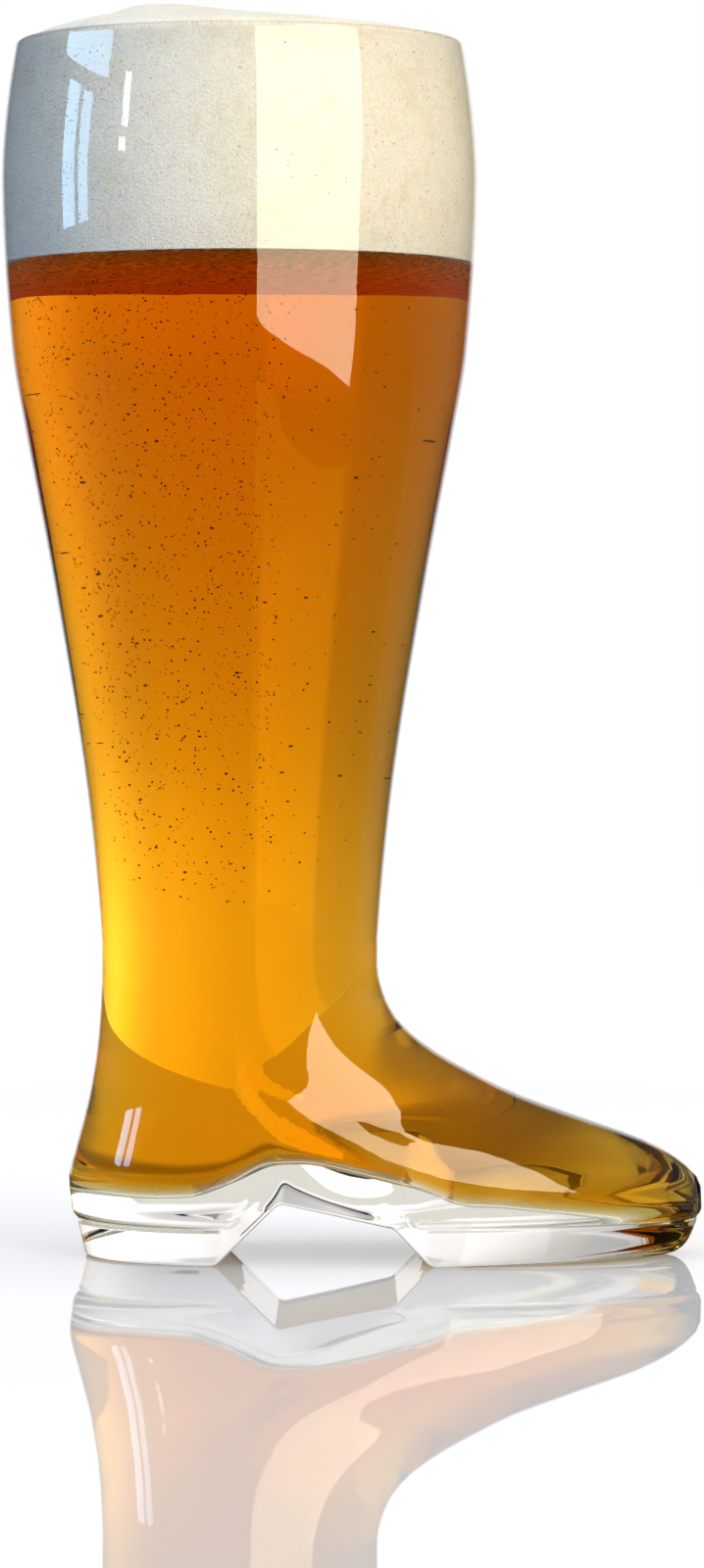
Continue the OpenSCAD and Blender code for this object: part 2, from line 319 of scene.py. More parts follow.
def makeGlass():
    surface = drink["surface"]
    edges = [sideRing(0, math.pi / 2 * k / fine["edge"]) for k in range(fine["edge"] + 1)]
    under = capRows(edges[0], soleCap, lambda x, y: archHeight(x), soleLine)
    sides = [sideRing(z) for z in fine["sole"]]
    upper = [sideRing(z) for z in steps(boot["soleTop"], boot["seamHeight"], fine["upper"])[1:]]
    lipRadius = boot["legWall"] / 2
    lipHeight = boot["rimHeight"] - lipRadius
    heights = [z for z in steps(boot["seamHeight"], lipHeight, fine["leg"]) if abs(z - surface) > 1]
    heights = sorted(heights + [surface])  # one ring parts the dry glass from the wet
    outside = [roundRing(0, legRadius(z), z) for z in heights[1:]]
    turns = [math.pi * k / fine["lip"] for k in range(1, fine["lip"])]
    lip = [roundRing(0, legRadius(lipHeight) - lipRadius * (1 - math.cos(turn)),
                     lipHeight + lipRadius * math.sin(turn)) for turn in turns]
    inside = [roundRing(0, legRadius(z) - boot["legWall"], z) for z in reversed(heights)]
    dryInside = [ring for ring in inside if ring[0][2] > surface]
    wetInside = [ring for ring in inside if ring[0][2] <= surface]
    cavity = cavityRings(0)
    floor = capRows(cavity[-1], floorCap, lambda x, y: floorHeight(x), floorLine)
    dry = under + edges + sides + upper + outside + lip + dryInside
    return ringsToMesh("bootGlass", dry + wetInside + cavity + floor, len(dry))


def makeBeer():
    gap, surface = -drink["overlap"], drink["surface"]
    cavity = cavityRings(gap)
    floor = capRows(cavity[-1], floorCap, lambda x, y: floorHeight(x) + gap, floorLine)
    heights = steps(boot["seamHeight"], surface, fine["beerLeg"])
    heights.insert(-1, surface - drink["edgeStrip"])  # keeps the side's normals level up to the edge
    leg = [roundRing(0, legRadius(z) - boot["legWall"] - gap, z) for z in heights]
    top = capRows(leg[-1], beerCap, lambda x, y: surface)
    return ringsToMesh("beerBody", floor[::-1] + cavity[::-1] + leg + top)


# The head of foam. It hangs lower in the beer on the far side, has a ragged edge there, and rises to a dome.
head = {
    "overlap": 0.05, "bottom": 269.9, "domeTop": 340.35, "domeBack": 24,
    "drop": 4.0, "dropFrom": -40, "dropOver": 100, "sag": 0.3, "sagRadius": 60, "sagOver": 6,
    "edgeHeight": 0.2, "raggedDepth": 0.4, "raggedScale": 0.35, "unevenDepth": 0.5, "unevenScale": 0.12,
    "domeDepth": 0.25, "domeScale": 0.16, "domeSink": 0.4, "calmRings": 3,
}


def underside(x, y):
    return head["bottom"] - head["drop"] * smooth((y - head["dropFrom"]) / head["dropOver"])


def raggedEdge(x, y, rise):
    notch = abs(noise.noise(Vector((x, y, 0)) * head["raggedScale"]))
    return underside(x, y) + rise - head["raggedDepth"] * notch


def soakedMiddle(x, y):
    sag = head["sag"] * smooth((head["sagRadius"] - math.hypot(x, y)) / head["sagOver"])
    return underside(x, y) - sag + head["unevenDepth"] * noise.noise(Vector((x, y, 3)) * head["unevenScale"])


def domePoint(x, y, z, depth):
    return x, y, z + depth * (noise.noise(Vector((x, y, z)) * head["domeScale"]) - head["domeSink"])


def makeFoam():
    lipHeight = boot["rimHeight"] - boot["legWall"] / 2
    side = []
    for k, z in enumerate([head["bottom"]] + steps(head["bottom"], lipHeight, fine["foamSide"])):
        ring = roundRing(0, legRadius(z) - boot["legWall"] + head["overlap"], z)
        if k < 2:
            ring = [(x, y, raggedEdge(x, y, head["edgeHeight"] * k)) for x, y, _ in ring]
        side.append(ring)
    rim = legRadius(lipHeight) - boot["legWall"] + head["overlap"]
    dome = []
    for k in range(1, fine["dome"] + 1):
        share = 1 - k / fine["dome"]
        height = mix(lipHeight, head["domeTop"], curve(domeShares, share))
        depth = head["domeDepth"] * smooth(k / head["calmRings"])
        ring = roundRing(-head["domeBack"] * (1 - share), rim * share, height)
        dome.append([domePoint(x, y, z, depth) for x, y, z in ring])
    bottom = capRows(side[0], foamCap, soakedMiddle)
    return ringsToMesh("foamHead", bottom + side + dome)


glass = makeGlass()
print("boot: glass", len(glass.data.polygons))
beer = makeBeer()
print("boot: beer", len(beer.data.polygons))
foam = makeFoam()
print("boot: foam", len(foam.data.polygons))


# sRGB hex to the linear colour that a shader takes
def linear(colour):
    parts = [int(colour[k:k + 2], 16) / 255 for k in (1, 3, 5)]
    return [v / 12.92 if v <= 0.04045 else ((v + 0.055) / 1.055) ** 2.4 for v in parts] + [1.0]


# Adds a node with its settings and links: a key that is a socket's name or number sets that socket
def addNode(tree, kind, settings=None, links=None):
    node = tree.nodes.new(kind)
    for key, value in (settings or {}).items():
        if isinstance(key, int) or key in node.inputs:
            node.inputs[key].default_value = value
        else:
            setattr(node, key, value)
    for key, source in (links or {}).items():
        tree.links.new(source, node.inputs[key])
    return node


def newMaterial(name):
    material = bpy.data.materials.new(name)
    material.use_nodes = True
    material.node_tree.nodes.clear()
    return material, material.node_tree


# In the looks from here on, a pattern's scale is 1 over its real size in metres
glassLook = {"tint": "#FAF8F6", "dryShine": "#AAAAAA", "wetShine": "#000000", "waves": 38.0}  # waves 26 mm long


# Blown soda-lime glass, fire polished: clear, with slow waves that bend what is seen through it. Where the beer
# wets it the glass has no shine of its own, because little is reflected between the two.
def blownGlass(name, shine):
    material, tree = newMaterial(name)
    place = addNode(tree, "ShaderNodeTexCoord")
    waves = addNode(tree, "ShaderNodeTexNoise", {"Scale": glassLook["waves"], "Detail": 1.0},
                    {"Vector": place.outputs["Object"]})
    bump = addNode(tree, "ShaderNodeBump", {"Strength": 0.12, "Distance": 0.0006}, {"Height": waves.outputs[0]})
    shader = addNode(tree, "ShaderNodeBsdfPrincipled", {
        "Base Color": linear(glassLook["tint"]), "Roughness": 0.0, "IOR": 1.5, "Transmission Weight": 1.0,
        "Specular Tint": linear(shine)}, {"Normal": bump.outputs[0]})
    addNode(tree, "ShaderNodeOutputMaterial", None, {"Surface": shader.outputs[0]})
    return material


beerLook = {"dye": "#FDE900", "density": 84.25, "shine": "#000000"}


# Wheat beer: a clear amber liquid that swallows blue first, then green
def amberBeer():
    material, tree = newMaterial("amberBeerLiquid")
    shader = addNode(tree, "ShaderNodeBsdfPrincipled", {
        "Base Color": linear("#FFFFFF"), "Roughness": 0.0, "IOR": 1.33, "Transmission Weight": 1.0,
        "Specular Tint": linear(beerLook["shine"])})
    dye = addNode(tree, "ShaderNodeVolumeAbsorption", {
        "Color": linear(beerLook["dye"]), "Density": beerLook["density"]})
    addNode(tree, "ShaderNodeOutputMaterial", None, {"Surface": shader.outputs[0], "Volume": dye.outputs[0]})
    return material


foamLook = {
    "pale": "#FAF2DE", "shade": "#EDE2C6", "clouds": 90.0,                # clouds of 11 mm
    "fineBubbles": 2600.0, "coarseBubbles": 1250.0, "bigBubbles": 420.0,  # 0.4, 0.8 and 2.4 mm
    # the soaked colours are the ends of a ramp that also carries the painted shade of the underside
    "soakedDark": "#481A06", "soakedPale": "#D07C3C", "grains": 620.0,    # grains of 1.6 mm
}


# Beer froth: matt cream made of bubbles of half a millimetre, with a few larger ones that look darker
def creamFroth():
    material, tree = newMaterial("creamBeerFroth")
    place = addNode(tree, "ShaderNodeTexCoord").outputs["Object"]
    small = addNode(tree, "ShaderNodeTexVoronoi", {"Scale": foamLook["fineBubbles"]}, {"Vector": place})
    coarse = addNode(tree, "ShaderNodeTexVoronoi", {"Scale": foamLook["coarseBubbles"]}, {"Vector": place})
    big = addNode(tree, "ShaderNodeTexVoronoi", {"Scale": foamLook["bigBubbles"]}, {"Vector": place})
    clouds = addNode(tree, "ShaderNodeTexNoise", {"Scale": foamLook["clouds"], "Detail": 6.0, "Roughness": 0.75},
                     {"Vector": place})
    tones = addNode(tree, "ShaderNodeValToRGB", None, {0: clouds.outputs[0]})
    low, high = tones.color_ramp.elements
    low.position, low.color = 0.28, linear(foamLook["shade"])
    high.position, high.color = 0.52, linear(foamLook["pale"])
    spots = addNode(tree, "ShaderNodeMapRange", {
        "From Min": 0.05, "From Max": 0.24, "To Min": 0.16, "To Max": 0.0}, {0: big.outputs[0]})
    pitted = addNode(tree, "ShaderNodeMix", {"data_type": "RGBA", 7: linear(foamLook["shade"])},
                     {0: spots.outputs[0], 6: tones.outputs[0]})
    grain = addNode(tree, "ShaderNodeMapRange", {
        "From Min": 0.1, "From Max": 0.6, "To Min": 0.9, "To Max": 1.04}, {0: coarse.outputs[0]})
    tinted = addNode(tree, "ShaderNodeMix", {"data_type": "RGBA", "blend_type": "MULTIPLY", 0: 1.0},
                     {6: pitted.outputs[2], 7: grain.outputs[0]})
    joined = addNode(tree, "ShaderNodeMath", {"operation": "MULTIPLY_ADD", 1: 0.8},
                     {0: coarse.outputs[0], 2: small.outputs[0]})
    bump = addNode(tree, "ShaderNodeBump", {"Strength": 0.5, "Distance": 0.0004}, {"Height": joined.outputs[0]})
    shader = addNode(tree, "ShaderNodeBsdfPrincipled", {
        "Roughness": 0.6, "Subsurface Weight": 0.15, "Subsurface Scale": 0.002},
        {"Base Color": tinted.outputs[2], "Normal": bump.outputs[0]})
    addNode(tree, "ShaderNodeOutputMaterial", None, {"Surface": shader.outputs[0]})
    return material


# The underside of the froth, soaked with beer: brown and grainy, with painted shade that makes it darker on the
# near side, where the beer in front of it is thinnest. A painted glow, an emission in its own colours, stands in
# for light that has come down through the froth.
def soakedFroth():
    material, tree = newMaterial("beerSoakedFroth")
    place = addNode(tree, "ShaderNodeTexCoord")
    parts = addNode(tree, "ShaderNodeSeparateXYZ", None, {0: place.outputs["Object"]})
    grains = addNode(tree, "ShaderNodeTexNoise", {"Scale": foamLook["grains"], "Detail": 2.0},
                     {"Vector": place.outputs["Object"]})
    # painted shade: the colour darkens towards the near side
    across = addNode(tree, "ShaderNodeMapRange", {"From Min": -0.06, "From Max": 0.06}, {0: parts.outputs["Y"]})
    grainsAndPaintedShade = addNode(tree, "ShaderNodeMath", {"operation": "MULTIPLY_ADD", 1: 0.35},
                      {0: across.outputs[0], 2: grains.outputs[0]})
    tones = addNode(tree, "ShaderNodeValToRGB", None, {0: grainsAndPaintedShade.outputs[0]})
    low, high = tones.color_ramp.elements
    low.position, low.color = 0.44, linear(foamLook["soakedDark"])
    high.position, high.color = 0.8, linear(foamLook["soakedPale"])
    bump = addNode(tree, "ShaderNodeBump", {"Strength": 0.5, "Distance": 0.0006}, {"Height": grains.outputs[0]})
    # painted glow: the froth emits its own colours at a strength of 0.4
    shader = addNode(tree, "ShaderNodeBsdfPrincipled", {"Roughness": 0.7, "Emission Strength": 0.4}, {
        "Base Color": tones.outputs[0], "Emission Color": tones.outputs[0], "Normal": bump.outputs[0]})
    addNode(tree, "ShaderNodeOutputMaterial", None, {"Surface": shader.outputs[0]})
    return material


# Gas bubbles near the inside of the glass. Here and for the drops, angles are counted from the heel, the viewer
# of the photo looks at 270 degrees, and lengths are in millimetres.
bubbles = {
    # painted shade: these browns stand in for the dark look of light bent by the clear gas
    "dark": "#522604", "pale": "#8A4E12", "shades": 120.0,   # a new shade every 8 mm
    "count": 2200, "smallest": 0.17, "largest": 0.38, "flatness": 1.0, "seed": 5,
    "thick": (255, 340), "thickShare": 0.7, "bottom": 95, "top": 264, "rising": 0.7,
    "nearest": 0.8, "deepest": 9,
}


# Carbon dioxide bubbles: seen through the beer, each is a small dark ring of bent light, painted here as an
# opaque brown colour in darker and paler patches
def gasBubble():
    material, tree = newMaterial("carbonDioxideBubble")
    place = addNode(tree, "ShaderNodeTexCoord")
    shades = addNode(tree, "ShaderNodeTexNoise", {"Scale": bubbles["shades"]},
                     {"Vector": place.outputs["Object"]})
    tones = addNode(tree, "ShaderNodeValToRGB", None, {0: shades.outputs[0]})
    low, high = tones.color_ramp.elements
    low.position, low.color = 0.35, linear(bubbles["dark"])
    high.position, high.color = 0.65, linear(bubbles["pale"])
    shader = addNode(tree, "ShaderNodeBsdfPrincipled", {"Roughness": 0.15}, {"Base Color": tones.outputs[0]})
    addNode(tree, "ShaderNodeOutputMaterial", None, {"Surface": shader.outputs[0]})
    return material


# Drops of water on the outside of the glass
drops = {
    "water": "#F4FAFC", "ripples": 700.0,                    # ripples of 1.4 mm
    "count": 3000, "smallest": 0.12, "largest": 0.34, "flatness": 0.35, "seed": 9,
    "middle": 322, "spread": 15, "thickShare": 0.6, "bottom": 271, "top": 325, "rising": 0.9, "sunk": 0.05,
}


# Condensed water: clear flat drops on the cold glass, each with a small glint
def waterDrop():
    material, tree = newMaterial("condensedWater")
    place = addNode(tree, "ShaderNodeTexCoord")
    ripples = addNode(tree, "ShaderNodeTexNoise", {"Scale": drops["ripples"]},
                      {"Vector": place.outputs["Object"]})
    bump = addNode(tree, "ShaderNodeBump", {"Strength": 0.1, "Distance": 0.0001}, {"Height": ripples.outputs[0]})
    shader = addNode(tree, "ShaderNodeBsdfPrincipled", {
        "Base Color": linear(drops["water"]), "Roughness": 0.0, "IOR": 1.33, "Transmission Weight": 1.0},
        {"Normal": bump.outputs[0]})
    addNode(tree, "ShaderNodeOutputMaterial", None, {"Surface": shader.outputs[0]})
    return material


glass.data.materials.append(blownGlass("clearBlownGlass", glassLook["dryShine"]))
glass.data.materials.append(blownGlass("wetBlownGlass", glassLook["wetShine"]))
beer.data.materials.append(amberBeer())
foam.data.materials.append(creamFroth())
foam.data.materials.append(soakedFroth())
for face in foam.data.polygons:
    face.material_index = 1 if face.normal.z < -0.5 else 0  # the underside is soaked

batchSize = 40      # shapes made together: a bmesh operator slows down as its mesh grows
smallShapes = 2.5   # how far the draw leans to the small sizes


# Small round shapes strewn by a seeded draw
def strewn(name, settings, placeAt):
    draw = random.Random(settings["seed"])
    whole = bmesh.new()
    for start in range(0, settings["count"], batchSize):
        batch = bmesh.new()
        for k in range(min(batchSize, settings["count"] - start)):
            point, outward = placeAt(draw)
            radius = mix(settings["smallest"], settings["largest"], draw.random() ** smallShapes) / 1000
            made = bmesh.ops.create_icosphere(batch, subdivisions=1, radius=radius)["verts"]
            bmesh.ops.scale(batch, verts=made, vec=(1, 1, settings["flatness"]))
            turned = outward.to_track_quat("Z", "Y").to_matrix().to_4x4()
            bmesh.ops.transform(batch, verts=made, matrix=turned)
            bmesh.ops.translate(batch, verts=made, vec=point)
        data = bpy.data.meshes.new("batch")
        batch.to_mesh(data)
        batch.free()
        whole.from_mesh(data)
        bpy.data.meshes.remove(data)
    return meshToPiece(name, whole)


# A point that lies out from the leg's surface, and the surface's direction there
def onLeg(angle, z, out):
    radius = legRadius(z) + out
    x, y = -radius * math.cos(angle) + boot["axisX"], radius * math.sin(angle)
    slope = (legRadius(z + 1) - legRadius(z - 1)) / 2
    outward = Vector((-math.cos(angle), math.sin(angle), -slope)).normalized()
    return Vector((x / 1000, y / 1000, z / 1000)), outward


def bubblePlace(draw):
    thick = draw.random() < bubbles["thickShare"]
    angle = math.radians(draw.uniform(*bubbles["thick"]) if thick else draw.uniform(0, 360))
    z = mix(bubbles["bottom"], bubbles["top"], draw.random() ** bubbles["rising"])
    return onLeg(angle, z, -boot["legWall"] - draw.uniform(bubbles["nearest"], bubbles["deepest"]))


def dropPlace(draw):
    thick = draw.random() < drops["thickShare"]
    angle = math.radians(draw.gauss(drops["middle"], drops["spread"]) if thick else draw.uniform(0, 360))
    return onLeg(angle, mix(drops["bottom"], drops["top"], draw.random() ** drops["rising"]), -drops["sunk"])


gas = strewn("gasBubbles", bubbles, bubblePlace)
gas.data.materials.append(gasBubble())
dew = strewn("condensationDrops", drops, dropPlace)
dew.data.materials.append(waterDrop())
dew.visible_shadow = False
glass.visible_shadow = False  # lets the lamps reach the foam and the beer inside
print("boot: bubbles and drops")

for piece, slot, nodes in (
        (glass, "clear_glass", ("leg_glass", "foot_glass")), (beer, "amber_beer", ("beer",)),
        (foam, "cream_foam", ("foam_head",)), (gas, "amber_beer", ()), (dew, "clear_glass", ())):
    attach(piece, "root")
    if nodes:
        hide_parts(*nodes)
print("boot: materials")


def stagePlane(name, corners, material):
    mesh = bmesh.new()
    mesh.faces.new([mesh.verts.new(corner) for corner in corners])
    piece = meshToPiece(name, mesh)
    piece.data.materials.append(material)
    return piece


# 1 for a ray that looks through the glass, and 0 for light on its way to the froth
def seenThrough(tree, sight):
    return addNode(tree, "ShaderNodeMath", {"operation": "SUBTRACT", "use_clamp": True},
                   {0: sight.outputs["Is Transmission Ray"], 1: sight.outputs["Diffuse Depth"]}).outputs[0]


# 1 for a ray mirrored by the glass or the table, and 0 for one that has gone through the glass since
def justMirrored(tree, sight):
    return addNode(tree, "ShaderNodeMath", {"operation": "SUBTRACT", "use_clamp": True},
                   {0: sight.outputs["Is Glossy Ray"], 1: sight.outputs["Is Transmission Ray"]}).outputs[0]


# The table, in metres, with +Y away from the viewer. Lift is white that only the camera sees, dimmed by painted
# shade close under the boot. Glow is painted light that only the drink shows of the table: it is bright under
# the boot and far behind it.
table = {
    # the contact colour is a painted warm shade close under the boot
    "reach": 3, "back": 0.39, "paint": "#CBCBCB", "mirroredPaintedShade": "#3E3E3E", "paintedContactShade": "#AE9E93",
    "contactReach": 0.1, "mirror": 0.53, "sheen": 0.12, "paintedSheenTint": "#FFD020", "roughness": 0.015,
    "lift": 0.4, "backLift": 0.58, "liftFrom": -0.2, "farFrom": 0.7, "farTo": 1.6, "farTimes": 3.0,
    "glowColour": "#F7FFF1", "farGlow": 0.337, "farGlowFrom": 0.09, "farGlowTo": 0.13,
    "underGlow": 0.796, "underGlowFrom": 0.045, "underGlowTo": 0.03,
}


# Polished white laminate: it mirrors the boot faintly and greys where the boot shades it; close under the boot a
# painted warm shade, from an occlusion mask, darkens its paint and its white lift
def floorMaterial():
    material, tree = newMaterial("polishedWhiteLaminate")
    sight = addNode(tree, "ShaderNodeLightPath")
    camera = sight.outputs["Is Camera Ray"]
    place = addNode(tree, "ShaderNodeTexCoord").outputs["Object"]
    awayY = addNode(tree, "ShaderNodeSeparateXYZ", None, {0: place}).outputs["Y"]
    openSky = addNode(tree, "ShaderNodeAmbientOcclusion", {
        "samples": 6, "Distance": table["contactReach"]}).outputs["AO"]

    # painted shade: reflections in the glass see the table in a far darker paint
    paint = addNode(tree, "ShaderNodeMix", {
        "data_type": "RGBA", 6: linear(table["paint"]), 7: linear(table["mirroredPaintedShade"])},
        {0: justMirrored(tree, sight)})
    # painted shade: close under the boot the paint turns a darker warm colour
    paintedContactShade = addNode(tree, "ShaderNodeMix", {
        "data_type": "RGBA", 6: linear(table["paintedContactShade"]), 7: linear("#FFFFFF")}, {0: openSky})
    paintWithShade = addNode(tree, "ShaderNodeMix", {"data_type": "RGBA", "blend_type": "MULTIPLY", 0: 1.0},
                    {6: paint.outputs[2], 7: paintedContactShade.outputs[2]})
    matt = addNode(tree, "ShaderNodeBsdfDiffuse", None, {"Color": paintWithShade.outputs[2]})

    backLift = addNode(tree, "ShaderNodeMapRange", {
        "From Min": table["liftFrom"], "From Max": table["back"], "To Min": table["lift"],
        "To Max": table["backLift"]}, {0: awayY})
    distance = addNode(tree, "ShaderNodeVectorMath", {"operation": "LENGTH"}, {0: place})
    farLift = addNode(tree, "ShaderNodeMapRange", {
        "From Min": table["farFrom"], "From Max": table["farTo"], "To Min": 1.0, "To Max": table["farTimes"]},
        {0: distance.outputs["Value"]})
    openLift = addNode(tree, "ShaderNodeMath", {"operation": "MULTIPLY"},
                       {0: backLift.outputs[0], 1: farLift.outputs[0]})
    # painted shade: the white lift is dimmed close under the boot
    lift = addNode(tree, "ShaderNodeMath", {"operation": "MULTIPLY"}, {0: openSky, 1: openLift.outputs[0]})

    # painted light: the table glows for rays through the drink, under the boot and far behind it, in a
    # green-yellow tint
    farGlow = addNode(tree, "ShaderNodeMapRange", {
        "interpolation_type": "SMOOTHSTEP", "From Min": table["farGlowFrom"], "From Max": table["farGlowTo"],
        "To Max": table["farGlow"]}, {0: awayY})
    underGlow = addNode(tree, "ShaderNodeMapRange", {
        "interpolation_type": "SMOOTHSTEP", "From Min": table["underGlowFrom"], "From Max": table["underGlowTo"],
        "To Max": table["underGlow"]}, {0: awayY})
    glow = addNode(tree, "ShaderNodeMath", {"operation": "ADD"},
                   {0: farGlow.outputs[0], 1: underGlow.outputs[0]})
    glowing = addNode(tree, "ShaderNodeMath", {"operation": "MULTIPLY"},
                      {0: glow.outputs[0], 1: seenThrough(tree, sight)})
    strength = addNode(tree, "ShaderNodeMath", {"operation": "MULTIPLY_ADD"},
                       {0: lift.outputs[0], 1: camera, 2: glowing.outputs[0]})
    tint = addNode(tree, "ShaderNodeMix", {
        "data_type": "RGBA", 6: linear(table["glowColour"]), 7: linear("#FFFFFF")}, {0: camera})
    light = addNode(tree, "ShaderNodeEmission", None,
                    {"Color": tint.outputs[2], "Strength": strength.outputs[0]})
    base = addNode(tree, "ShaderNodeAddShader", None, {0: matt.outputs[0], 1: light.outputs[0]})

    # painted tint: rays that do not come from the camera see the table's gloss in warm yellow
    polish = addNode(tree, "ShaderNodeMix", {
        "data_type": "RGBA", 6: linear(table["paintedSheenTint"]), 7: linear("#FFFFFF")}, {0: camera})
    gloss = addNode(tree, "ShaderNodeBsdfGlossy", {"Roughness": table["roughness"]},
                    {"Color": polish.outputs[2]})
    share = addNode(tree, "ShaderNodeMath", {
        "operation": "MULTIPLY_ADD", 1: table["mirror"] - table["sheen"], 2: table["sheen"]}, {0: camera})
    polished = addNode(tree, "ShaderNodeMixShader", None,
                       {0: share.outputs[0], 1: base.outputs[0], 2: gloss.outputs[0]})

    # behind its back edge the table is there for the camera only: the drink looks past it into the white room
    behind = addNode(tree, "ShaderNodeMath", {"operation": "GREATER_THAN", 1: table["back"]}, {0: awayY})
    hidden = addNode(tree, "ShaderNodeMath", {"operation": "SUBTRACT", "use_clamp": True},
                     {0: behind.outputs[0], 1: camera})
    clear = addNode(tree, "ShaderNodeBsdfTransparent")
    shown = addNode(tree, "ShaderNodeMixShader", None,
                    {0: hidden.outputs[0], 1: polished.outputs[0], 2: clear.outputs[0]})
    addNode(tree, "ShaderNodeOutputMaterial", None, {"Surface": shown.outputs[0]})
    return material


# Softbox cloth or window glass: an even bright face that shows only in reflections, and lets all else through.
# It shows in what the boot mirrors itself, sharper than the table does, or in later reflections alone, which
# come by way of the table.
def lampMaterial(name, colour, strength, later=False):
    material, tree = newMaterial(name)
    sight = addNode(tree, "ShaderNodeLightPath")
    if later:
        gate = addNode(tree, "ShaderNodeMath", {"operation": "GREATER_THAN", 1: 1.5},
                       {0: sight.outputs["Glossy Depth"]}).outputs[0]  # from the second reflection on
    else:
        gate = sight.outputs["Is Singular Ray"]
    seen = addNode(tree, "ShaderNodeMath", {"operation": "MULTIPLY"}, {0: justMirrored(tree, sight), 1: gate})
    light = addNode(tree, "ShaderNodeEmission", {"Color": linear(colour), "Strength": strength})
    clear = addNode(tree, "ShaderNodeBsdfTransparent")
    mixed = addNode(tree, "ShaderNodeMixShader", None,
                    {0: seen.outputs[0], 1: clear.outputs[0], 2: light.outputs[0]})
    addNode(tree, "ShaderNodeOutputMaterial", None, {"Surface": mixed.outputs[0]})
    return material


# A corner of a lamp: its direction round the leg, counted from the viewer, then its height and its distance
def lampCorner(azimuth, height, distance):
    a = math.radians(azimuth)
    return (boot["axisX"] / 1000 + distance * math.sin(a), -distance * math.cos(a), height)


def addPane(name, corners, material):
    pane = stagePlane(name, [lampCorner(*corner) for corner in corners], material)
    pane.visible_camera = False
    pane.visible_shadow = False  # the lamps shine through it


# A tall softbox on the right. It stands twice: near, for what the glass reflects itself, and far, for what the
# glass reflects of the table.
softbox = {
    "cloth": "#FFEFC8", "strength": 21, "near": 0.4,
    "nearCorners": [(8.4, 0.212), (56.5, 0.138), (56, 0.28), (58.5, 0.38), (61, 0.46), (62.7, 0.78), (42, 0.77),
                    (25, 0.5), (8.5, 0.49)],
    "farCorners": [(9, 0.119, 1.195), (62, 0.0275, 0.877), (62, 1.13, 0.63), (9, 1.377, 0.803)],
}
# A window and the gap of a door on the left. Each pane has its left and right azimuth, then its lower and upper
# height.
window = {
    "glow": "#A4CFF4", "strength": 22, "doorGlow": "#EAF2FA", "doorStrength": 32, "distance": 1.17, "facets": 8,
    "windowPanes": {"windowLeft": (-91.5, -83.5, 0.28, 0.63), "windowRight": (-81, -75, 0.28, 0.62),
                    "windowTop": (-97, -67, 0.67, 0.76)},
    "doorPanes": {"doorSlit": (-57, -53.5, 0.54, 0.7), "doorSlitLow": (-58, -54.5, 0.447, 0.5)},
}

reach = table["reach"]
stagePlane("studioFloor", [(-reach, -reach, 0), (reach, -reach, 0), (reach, reach, 0), (-reach, reach, 0)],
           floorMaterial())
addPane("softboxNear", [(azimuth, height, softbox["near"]) for azimuth, height in softbox["nearCorners"]],
        lampMaterial("softboxNearCloth", softbox["cloth"], softbox["strength"]))
addPane("softboxFar", softbox["farCorners"],
        lampMaterial("softboxFarCloth", softbox["cloth"], softbox["strength"], later=True))
for panes, material in (
        (window["windowPanes"], lampMaterial("windowGlass", window["glow"], window["strength"])),
        (window["doorPanes"], lampMaterial("doorGlass", window["doorGlow"], window["doorStrength"]))):
    for name, (left, right, low, high) in panes.items():
        turns = steps(left, right, window["facets"])
        addPane(name, [(turn, low, window["distance"]) for turn in turns]
                + [(turn, high, window["distance"]) for turn in reversed(turns)], material)
print("boot: table and panes")


def addAreaLamp(name, place, aim, size, power, colour):
    lamp = bpy.data.lights.new(name, "AREA")
    lamp.shape, lamp.size, lamp.energy, lamp.color = "DISK", size, power, linear(colour)[:3]
    piece = bpy.data.objects.new(name, lamp)
    piece.location = place
    piece.rotation_euler = (Vector(aim) - Vector(place)).to_track_quat("-Z", "Y").to_euler()
    piece.visible_glossy = False
    piece.visible_transmission = False
    bpy.context.scene.collection.objects.link(piece)


lamps = {
    "keyLamp": {"place": (0.8, -1.2, 0.8), "aim": (0, 0, 0.2), "size": 0.7, "power": 16.5, "colour": "#FFFBF2"},
    "topLamp": {"place": (0.1, -0.2, 1.6), "aim": (0, 0, 0.15), "size": 1.2, "power": 5, "colour": "#FFFFFF"},
    "leftLamp": {"place": (-1.3, -0.5, 0.5), "aim": (0, 0, 0.25), "size": 0.8, "power": 16, "colour": "#6CA8F0"},
}
for name, settings in lamps.items():
    addAreaLamp(name, **settings)

# The white room, by the direction that a ray leaves in: X to the right, Y away from the viewer, Z up
room = {
    "light": 0.37, "mirroredFront": 0.02, "mirroredBack": 1.0, "frontEnd": 0.91, "backStart": 0.975,
    "left": 0.72, "leftFrom": -0.5, "right": 1.85, "rightFrom": 0.25, "rightTo": 0.7,
    "horizon": 1.04, "top": 0.728, "topFrom": 0.15, "laterShade": 0.66,
    "lowGlow": 1.2, "lowFrom": 0.15, "lowTo": 0.05, "lowRight": 0.2,
}
# A pale panel behind the boot, with a top that slants and fades: the wedge in the beer, right of its middle
panel = {
    "left": -0.295, "right": -0.065, "edge": 0.012, "slant": 0.118, "top": 0.152, "fade": 0.024, "glow": 0.13,
}


